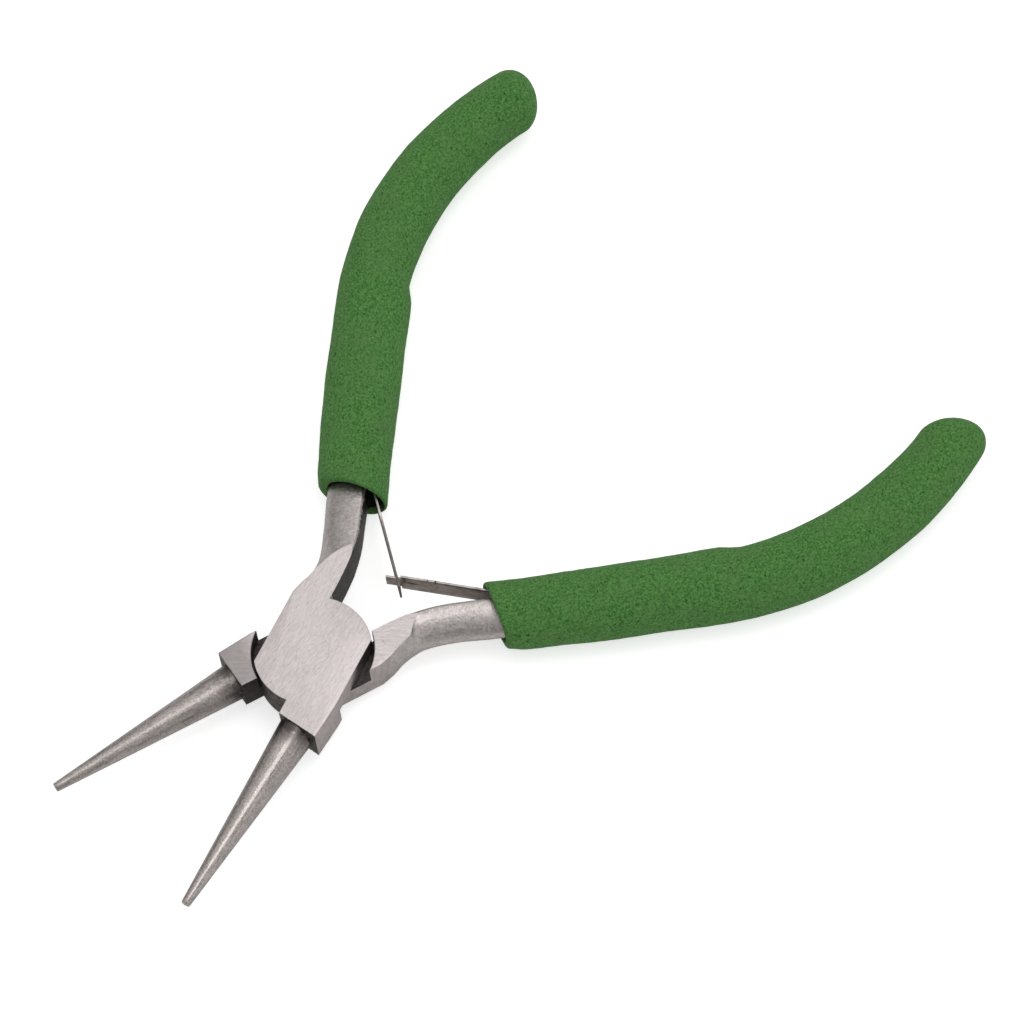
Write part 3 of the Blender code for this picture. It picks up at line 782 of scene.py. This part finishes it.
def make_lever(half, brush_angle, block_brightness, dark_line_depth):
    """Finish one half's forging and hang it on its body."""
    mesh = lever_mesh(half)
    lever = linked_object(half + "_lever", mesh)
    mesh.materials.clear()
    for material in (
        ground_steel("ground_steel_" + half, brush_angle, block_brightness),
        satin_steel("neck_steel_" + half, (0.66, 0.605, 0.59), (0.42, 0.38, 0.365), 0.30),
        jaw_steel("jaw_steel_" + half, (0.56, 0.51, 0.49), (0.31, 0.275, 0.26), dark_line_depth),
        side_steel("side_steel_" + half),
        scale_steel("black_scale_" + half),
        end_steel("end_steel_" + half),
    ):
        mesh.materials.append(material)
    mesh.shade_smooth()
    mesh.set_sharp_from_angle(angle=radians(32))
    for face in mesh.polygons:
        face.material_index = lever_finish(face.center, face.normal)
    sharpen_between_finishes(mesh)
    settle(lever, lever_matrix(half))
    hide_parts("lever_" + half)
    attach(lever, half)


# ---------------------------------------------------------------- grip

# Half widths at distances from the mouth, in millimetres.  The two sleeves are cut and stretched on
# by hand, so they differ a little.  The inner side swells over the leaf's seat, up to 29.5.
GRIP_OUTER = {
    "front": [(0.0, 4.55), (3.0, 4.9), (14.0, 5.2), (40.0, 4.95), (67.0, 4.45)],
    "back": [(0.0, 4.20), (3.0, 4.62), (14.0, 4.98), (40.0, 4.95), (67.0, 4.6)],
}
GRIP_INNER = {
    "front": [(0.0, 4.85), (5.0, 4.72), (20.0, 4.95), (29.5, 5.15), (33.5, 4.45), (40.0, 4.65),
              (55.0, 4.65), (67.0, 4.45)],
    "back": [(0.0, 4.85), (5.0, 4.60), (20.0, 4.85), (29.5, 5.15), (33.5, 4.45), (40.0, 4.60),
             (55.0, 4.55), (67.0, 3.95)],
}
GRIP_DEPTH = [(0.0, 4.65), (5.0, 4.75), (30.0, 4.9), (36.0, 4.7), (67.0, 4.4)]
BORE_RADIUS = [(0.0, 3.75), (6.5, 3.5), (10.5, 3.18), (60.0, 3.1)]
BORE_SHIFT = [(0.0, 0.5), (6.5, 0.25), (10.5, 0.0), (60.0, 0.0)]
BORE_STATIONS = [60.5, 50.0, 40.0, 34.0, 28.6, 20.0, 12.0, 10.5, 8.5, 6.5, 4.5, 3.0, 2.0, 1.2, 0.7]
SKIN_START = 0.7
SKIN_STEP = 0.27
MOUTH_LIP = 0.28 * MM           # rounding inside the mouth
MOUTH_RIM = 0.42 * MM           # and outside it
SWELLS = [(0.10, 6.0), (0.035, 1.7), (0.018, 0.6)]      # (height, size) of the skin's unevenness
GRIP_SIDES = 132


def grip_ring(half, distance, inner, outer, depth, shift=0.0):
    """Ring about the grip's axis, sheared to the slant of the mouth and of the rounded end."""
    centre, along = grip_axis(distance)
    side = inward(along)
    end_share = (distance - END_SLANT_START) / (GRIP_LENGTH - END_SLANT_START)
    slant = MOUTH_SLANT * max(0.0, 1.0 - distance / MOUTH_SLANT_REACH) ** 2
    slant += END_SLANT[half] * max(0.0, end_share)
    ring = []
    for i in range(GRIP_SIDES):
        a = 2 * pi * i / GRIP_SIDES
        reach = inner if cos(a) > 0 else outer
        n = reach * cos(a) + shift
        place = centre + side * n - along * (slant * n)
        ring.append(Vector((place.x, place.y, depth * sin(a))))
    return ring


def swollen(ring, seed):
    """The ring, moved in and out a little as hand-stretched foam is."""
    middle = sum(ring, Vector()) / len(ring)
    moved = []
    for point in ring:
        out = (point - middle).normalized()
        place = point / MM + Vector((seed * 17.0, 0.0, 0.0))
        swell = sum(height * noise.noise(place / size) for height, size in SWELLS)
        moved.append(point + out * (swell * MM))
    return moved


def grip_mesh(half, seed):
    """Foam sleeve: the bore, a rolled lip, then the outer skin to the rounded end."""
    bore = []
    for station in BORE_STATIONS:
        radius = profile_value(BORE_RADIUS, station) * MM
        shift = profile_value(BORE_SHIFT, station) * MM
        bore.append(grip_ring(half, station * MM, radius, radius, radius, shift))
    skin = []
    mouth_bore = BORE_RADIUS[0][1] * MM
    mouth_shift = BORE_SHIFT[0][1] * MM
    for a in (0.0, pi / 6, pi / 3, pi / 2):
        radius = mouth_bore + MOUTH_LIP * (1 - cos(a))
        skin.append(grip_ring(half, MOUTH_LIP * (1 - sin(a)), radius, radius, radius, mouth_shift))
    tables = (GRIP_INNER[half], GRIP_OUTER[half], GRIP_DEPTH)
    for a in (pi / 2, pi / 3, pi / 6, 0.0):
        ease = MOUTH_RIM * (1 - cos(a))
        distance = MOUTH_RIM * (1 - sin(a))
        sizes = [profile_value(table, distance / MM) * MM - ease for table in tables]
        skin.append(grip_ring(half, distance, *sizes))
    station = SKIN_START
    while station < GRIP_BODY_LENGTH / MM:
        sizes = [profile_value(table, station) * MM for table in tables]
        skin.append(grip_ring(half, station * MM, *sizes))
        station += SKIN_STEP
    end_steps = 22
    for i in range(end_steps):
        t = sin((pi / 2) * i / end_steps)
        size = sqrt(1 - t * t)
        distance = GRIP_BODY_LENGTH + GRIP_END_LENGTH * t
        sizes = [profile_value(table, distance / MM) * MM * size for table in tables]
        skin.append(grip_ring(half, distance, *sizes))
    grip = loft(half + "_grip", bore + [swollen(ring, seed) for ring in skin])
    bore_bands = (len(bore) - 1) * GRIP_SIDES
    bore_cap = (len(bore) + len(skin) - 1) * GRIP_SIDES
    for face in grip.data.polygons:
        face.material_index = int(face.index < bore_bands or face.index == bore_cap)
    return grip


def make_grip(half, seed, skin, bore):
    """Sleeve of one handle, with painted shade: the bore darker than the skin."""
    grip = grip_mesh(half, seed)
    settle(grip, lever_matrix(half))
    grip.data.materials.append(skin)
    grip.data.materials.append(bore)
    grip.data.shade_smooth()
    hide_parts("grip_" + half)
    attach(grip, half)


# ---------------------------------------------------------------- leaf springs

def leaf_path(free_stations):
    """Points and headings from under the grip to the leaf's tip, in the lever frame."""
    seat_along = Vector((cos(GRIP_SLOPE), sin(GRIP_SLOPE)))
    seat_side = Vector((-sin(GRIP_SLOPE), cos(GRIP_SLOPE)))
    seat_rise = TANG_OFFSET + TANG_FLAT + STRIP_GAP + LEAF_THICKNESS / 2
    free_along = Vector((cos(LEAF_ANGLE), sin(LEAF_ANGLE)))
    crossing = Matrix.Rotation(-HALF_OPENING, 2) @ Vector((LEAF_CROSSING_X, 0.0))
    start = GRIP_MOUTH - seat_along * STRIP_END + seat_side * seat_rise
    gap = crossing - start
    turn = seat_along.x * free_along.y - seat_along.y * free_along.x
    seat_run = (gap.x * free_along.y - gap.y * free_along.x) / turn
    corner = start + seat_along * seat_run
    trim = LEAF_BEND_RADIUS * tan((LEAF_ANGLE - GRIP_SLOPE) / 2)
    path = []
    seat_steps = 30
    for i in range(seat_steps):
        path.append((start + seat_along * ((seat_run - trim) * i / seat_steps), GRIP_SLOPE))
    bend_steps = 8
    centre = corner - seat_along * trim + seat_side * LEAF_BEND_RADIUS
    for i in range(bend_steps + 1):
        heading = GRIP_SLOPE + (LEAF_ANGLE - GRIP_SLOPE) * i / bend_steps
        path.append((centre + Vector((sin(heading), -cos(heading))) * LEAF_BEND_RADIUS, heading))
    free_length = (crossing - corner).length - trim
    free_start = corner + free_along * trim
    for station in free_stations:
        path.append((free_start + free_along * (free_length + station * MM), LEAF_ANGLE))
    return path


def strip_mesh(name, path, across, kept):
    """Strip of the leaf's thickness over the cells that `kept(i, j)` keeps, with edges in slot 1.

    Its own place holds the distance from the tip, which is 0 there and negative before it.
    """
    shape = bmesh.new()
    layer = shape.verts.layers.float_vector.new("own_place")
    grid = {}
    travelled = 0.0
    for (before, _), (after, _) in zip(path, path[1:]):
        travelled -= (after - before).length
    for i, (point, heading) in enumerate(path):
        if i:
            travelled += (point - path[i - 1][0]).length
        normal = Vector((-sin(heading), cos(heading)))
        for j, z in enumerate(across):
            for k, rise in enumerate((-LEAF_THICKNESS / 2, LEAF_THICKNESS / 2)):
                spot = point + normal * rise
                vertex = shape.verts.new((spot.x, spot.y, z))
                vertex[layer] = Vector((travelled, z, 0.0))
                grid[i, j, k] = vertex
    rows, columns = len(path) - 1, len(across) - 1

    def present(i, j):
        """Whether there is a cell here."""
        return 0 <= i < rows and 0 <= j < columns and kept(i, j)

    for i in range(rows):
        for j in range(columns):
            if not present(i, j):
                continue
            corners = ((i, j), (i + 1, j), (i + 1, j + 1), (i, j + 1))
            for k in (0, 1):
                shape.faces.new([grid[a, b, k] for a, b in corners])
            beyond = ((i, j - 1), (i + 1, j), (i, j + 1), (i - 1, j))
            for side, neighbour in enumerate(beyond):
                if not present(*neighbour):
                    a, b = corners[side], corners[(side + 1) % 4]
                    ends = ((*a, 0), (*b, 0), (*b, 1), (*a, 1))
                    wall = shape.faces.new([grid[end] for end in ends])
                    wall.material_index = 1
    loose = [vertex for vertex in shape.verts if not vertex.link_faces]
    bmesh.ops.delete(shape, geom=loose, context="VERTS")
    return mesh_object(name, shape)


def slotted_leaf():
    """Front leaf, with a closed slot about the crossing."""
    path = leaf_path(FREE_STATIONS + [-SLOT_BEFORE / MM, 0.0, SLOT_AFTER / MM, SLOTTED_TIP / MM])
    slot = (len(path) - 4, len(path) - 3)
    across = [-LEAF_HALF_WIDTH, -SLOT_HALF_WIDTH, SLOT_HALF_WIDTH, LEAF_HALF_WIDTH]
    return strip_mesh("front_leaf", path, across, lambda i, j: j != 1 or i not in slot)


def tongued_leaf():
    """Back leaf, narrowed to a tongue that runs through the slot."""
    path = leaf_path(FREE_STATIONS + [-TONGUE_SHOULDER / MM, 0.4, TONGUE_TIP / MM])
    tongue = len(path) - 3
    across = [-LEAF_HALF_WIDTH, -TONGUE_HALF_WIDTH, TONGUE_HALF_WIDTH, LEAF_HALF_WIDTH]
    return strip_mesh("back_leaf", path, across, lambda i, j: i < tongue or j == 1)


def make_leaf(half, leaf, face_material, edge_material):
    """Ease a leaf's edges, and set it in its half's place."""
    leaf.data.materials.append(face_material)
    leaf.data.materials.append(edge_material)
    soften = leaf.modifiers.new("edges", "BEVEL")
    soften.width = LEAF_EDGE_ROUND
    soften.segments = 2
    soften.limit_method = "ANGLE"
    soften.angle_limit = radians(40)
    place = lever_matrix(half)
    leaf.data.transform(place)
    bpy.context.view_layer.update()
    evaluated = leaf.evaluated_get(bpy.context.evaluated_depsgraph_get())
    softened = bpy.data.meshes.new_from_object(evaluated)
    leaf.modifiers.clear()
    leaf.data = softened
    softened.shade_smooth()
    softened.set_sharp_from_angle(angle=radians(50))
    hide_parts("spring_leaf_" + half, "spring_seat_" + half)
    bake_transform(leaf)


# ---------------------------------------------------------------- assembly

def make_pivot_pin():
    """Rivet ground flush with both faces."""
    pin = turned("pivot_pin", rivet_profile(0.0), ROUND_SIDES)
    settle(pin, Matrix.Translation((0, 0, HALF_THICKNESS)))
    pin.data.materials.append(ground_steel("rivet_steel", FRONT_BRUSH))
    pin.data.shade_smooth()
    pin.data.set_sharp_from_angle(angle=radians(30))
    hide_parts("pivot_rivet")
    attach(pin, "back")


def build_pliers():
    """Both levers, sleeves and leaves, the pivot's rivet, and a finish for the hidden CAD rivets."""
    make_lever("front", FRONT_BRUSH, 1.0, 0.45)
    make_lever("back", BACK_BRUSH, 0.60, 0.0)
    skin = foam("green_foam", (0.042, 0.158, 0.027), (0.132, 0.330, 0.086))
    # painted shade: the bore's foam is far darker than the skin, for the shade inside the sleeve
    bore = foam("bore_painted_shade", (0.006, 0.016, 0.005), (0.016, 0.036, 0.012))
    make_grip("front", 1, skin, bore)
    make_grip("back", 2, skin, bore)
    # painted shade: the front leaf's faces are painted much darker than the back leaf's
    front_face_shaded = leaf_steel("leaf_front", (0.13, 0.11, 0.10), (0.05, 0.042, 0.038))
    front_edge = leaf_steel("leaf_front_edge", (0.92, 0.87, 0.80), (0.50, 0.45, 0.41), tarnish=0.72)
    make_leaf("front", slotted_leaf(), front_face_shaded, front_edge)
    back_face = leaf_steel("leaf_back", (0.52, 0.445, 0.40), (0.30, 0.25, 0.22))
    back_edge = leaf_steel("leaf_back_edge", (0.74, 0.68, 0.66), (0.55, 0.50, 0.48))
    make_leaf("back", tongued_leaf(), back_face, back_edge)
    make_pivot_pin()
    rivet = side_steel("seat_rivet_steel")
    for half in ("front", "back"):
        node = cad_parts["seat_rivet_" + half]
        node.data.materials.clear()
        node.data.materials.append(rivet)


# ---------------------------------------------------------------- stage

CAMERA_PLACE = Vector((153.9, 227.1, 563.16)) * MM
CAMERA_FORWARD = Vector((-0.2958, -0.3533, -0.8875)).normalized()
CAMERA_ROLL = radians(-7.09)
CAMERA_LENS = 168.66


def build_camera():
    """Camera at the photo's place and angle."""
    data = bpy.data.cameras.new("camera")
    data.lens = CAMERA_LENS
    data.sensor_width = 36.0
    data.clip_start = 0.01
    data.clip_end = 20.0
    camera = linked_object("camera", data)
    right = CAMERA_FORWARD.cross(Vector((0, 0, 1))).normalized()
    up = right.cross(CAMERA_FORWARD)
    rolled_right = right * cos(CAMERA_ROLL) + up * sin(CAMERA_ROLL)
    rolled_up = up * cos(CAMERA_ROLL) - right * sin(CAMERA_ROLL)
    turn = Matrix((rolled_right, rolled_up, -CAMERA_FORWARD)).transposed()
    camera.matrix_world = Matrix.Translation(CAMERA_PLACE) @ turn.to_4x4()
    bpy.context.scene.camera = camera


SKY = 0.30
LOBES = [       # direction, sharpness, gain
    (Vector((-0.196, 0.116, 0.974)), 52.0, 2.6),    # soft box overhead
    (Vector((-0.20, -0.16, 1.0)), 2.0, 0.60),       # its wide spill
    (Vector((-0.25, 0.90, 0.27)), 8.0, 0.50),       # reflector on the right
]


def build_sky():
    """Soft box overhead with a wide spill, and a low reflector on the right."""
    world = bpy.data.worlds.new("studio")
    world.use_nodes = True
    tree = world.node_tree
    direction = put(tree, "ShaderNodeTexCoord").outputs["Generated"]
    total = SKY
    for lobe, sharpness, gain in LOBES:
        lit = maths(tree, "MAXIMUM", vector_maths(tree, "DOT_PRODUCT", direction, lobe.normalized()))
        glow = maths(tree, "MULTIPLY", maths(tree, "POWER", lit, sharpness), gain)
        total = maths(tree, "ADD", glow, total)
    tree.links.new(total, tree.nodes["Background"].inputs["Strength"])
    tree.nodes["Background"].inputs["Color"].default_value = (1.0, 1.0, 1.0, 1.0)
    bpy.context.scene.world = world


def build_floor():
    """Pale matt floor just under the lowest point of the pliers."""
    shape = bmesh.new()
    bmesh.ops.create_grid(shape, x_segments=2, y_segments=2, size=1.5)
    floor = mesh_object("floor", shape)
    floor.location.z = FLOOR_HEIGHT
    material, tree, shader = blank_material("floor")
    shader.inputs["Base Color"].default_value = (0.93, 0.93, 0.93, 1.0)
    shader.inputs["Roughness"].default_value = 0.9
    shader.inputs["Specular IOR Level"].default_value = 0.0
    shader.inputs["Emission Color"].default_value = (1.0, 1.0, 1.0, 1.0)
    seen = put(tree, "ShaderNodeLightPath").outputs["Is Camera Ray"]
    tree.links.new(maths(tree, "MULTIPLY", seen, FLOOR_GLOW), shader.inputs["Emission Strength"])
    floor.data.materials.append(material)


build_pliers()
build_floor()
build_sky()
build_camera()
scene = bpy.context.scene
scene.view_settings.view_transform = "Standard"
scene.view_settings.look = "None"
